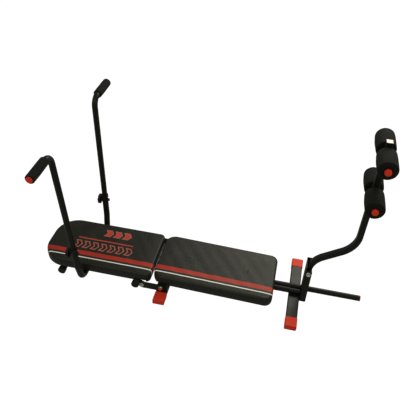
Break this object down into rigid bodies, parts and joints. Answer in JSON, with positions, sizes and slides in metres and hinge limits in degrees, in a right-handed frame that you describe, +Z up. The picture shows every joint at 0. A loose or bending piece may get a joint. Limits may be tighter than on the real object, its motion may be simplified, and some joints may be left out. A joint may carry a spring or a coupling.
{
  "type": "decline sit up bench",
  "caption": "Low folding sit-up bench with padded seat and back, telescoping side handles and an upright bar with foam leg rollers.",
  "frame": {"origin": "on the floor, halfway between the head end and the tail of the guide rail, on the centre plane", "axes": "+X towards the leg rollers and the guide rail's tail, +Y to the right-hand side seen from the head end, +Z up"},
  "size_m": [1.46, 0.762, 0.8694],
  "materials": {
    "black_paint": "satin black powder coat",
    "red_plastic": "moulded orange-red plastic",
    "black_plastic": "moulded black plastic",
    "vinyl": "charcoal vinyl with a red and a white stripe",
    "foam": "closed-cell black foam",
    "zinc": "bright zinc plate",
    "plywood": "raw plywood",
    "white_label": "plain white sticker"
  },
  "bodies": {
    "seat_frame": {"end_foot_tube": "black_paint", "end_foot_caps": "red_plastic", "middle_foot_tube": "black_paint", "middle_foot_caps": "red_plastic", "main_outer_tube": "black_paint", "guide_rail_tube": "black_paint", "rail_end_cap": "red_plastic", "seat_crossbar": "black_paint", "seat_front_plate": "black_paint", "seat_board": "plywood", "seat_pad": "vinyl", "hinge_plates": "black_paint", "pivot_bolts": "zinc", "pivot_nuts": "zinc", "hinge_plate_bolts": "zinc"},
    "back_section": {"back_rails": "black_paint", "back_crossbar": "black_paint", "hinge_ears": "black_paint", "back_cross_feet": "black_paint", "back_foot_plugs": "black_plastic", "back_board": "plywood", "back_pad": "vinyl", "handle_yoke": "black_paint", "socket_collars": "black_plastic", "socket_bosses": "black_paint", "guide_screws": "black_plastic", "yoke_brackets": "black_paint", "yoke_bolts": "zinc"},
    "leg_holder": {"leg_post": "black_paint", "slider_tube": "black_paint", "rail_bush": "black_plastic", "leg_bar": "black_paint", "leg_bar_plug": "black_plastic", "blank_label": "white_label", "post_bolt": "zinc", "post_nut": "zinc", "post_spacers": "black_plastic", "roller_rods": "zinc", "roller_end_caps": "red_plastic"},
    "handle_left": {"handle_tube_left": "black_paint", "grip_left": "foam", "grip_cap_left": "red_plastic"},
    "lock_knob_left": {"knob_left": "black_plastic", "knob_screw_left": "zinc"},
    "handle_right": {"handle_tube_right": "black_paint", "grip_right": "foam", "grip_cap_right": "red_plastic"},
    "lock_knob_right": {"knob_right": "black_plastic", "knob_screw_right": "zinc"},
    "roller_upper_left": {"foam_upper_left": "foam", "sleeve_upper_left": "black_plastic"},
    "roller_upper_right": {"foam_upper_right": "foam", "sleeve_upper_right": "black_plastic"},
    "roller_lower_left": {"foam_lower_left": "foam", "sleeve_lower_left": "black_plastic"},
    "roller_lower_right": {"foam_lower_right": "foam", "sleeve_lower_right": "black_plastic"}
  },
  "joints": [
    {"name": "back_fold", "type": "hinge", "parent": "seat_frame", "child": "back_section", "pos_m": [-0.242, 0, 0.045], "axis": [0, -1, 0], "range_deg": [0, 115]},
    {"name": "handle_left_height", "type": "slide", "parent": "back_section", "child": "handle_left", "axis": [-0.0315, -0.0542, 0.998], "range_m": [-0.05, 0.025]},
    {"name": "knob_left_turn", "type": "hinge", "parent": "back_section", "child": "lock_knob_left", "pos_m": [-0.52623, -0.18978, 0.213], "axis": [-1, 0, 0], "continuous": true},
    {"name": "handle_right_height", "type": "slide", "parent": "back_section", "child": "handle_right", "axis": [-0.0315, 0.0542, 0.998], "range_m": [-0.05, 0.025]},
    {"name": "knob_right_turn", "type": "hinge", "parent": "back_section", "child": "lock_knob_right", "pos_m": [-0.52623, 0.18978, 0.213], "axis": [-1, 0, 0], "continuous": true},
    {"name": "leg_length_slide", "type": "slide", "parent": "seat_frame", "child": "leg_holder", "axis": [1, 0, 0], "range_m": [0, 0.15]},
    {"name": "roller_upper_left_spin", "type": "hinge", "parent": "leg_holder", "child": "roller_upper_left", "pos_m": [0.645, -0.067, 0.82], "axis": [0, 1, 0], "continuous": true},
    {"name": "roller_upper_right_spin", "type": "hinge", "parent": "leg_holder", "child": "roller_upper_right", "pos_m": [0.645, 0.067, 0.82], "axis": [0, 1, 0], "continuous": true},
    {"name": "roller_lower_left_spin", "type": "hinge", "parent": "leg_holder", "child": "roller_lower_left", "pos_m": [0.645, -0.067, 0.643], "axis": [0, 1, 0], "continuous": true},
    {"name": "roller_lower_right_spin", "type": "hinge", "parent": "leg_holder", "child": "roller_lower_right", "pos_m": [0.645, 0.067, 0.643], "axis": [0, 1, 0], "continuous": true}
  ]
}
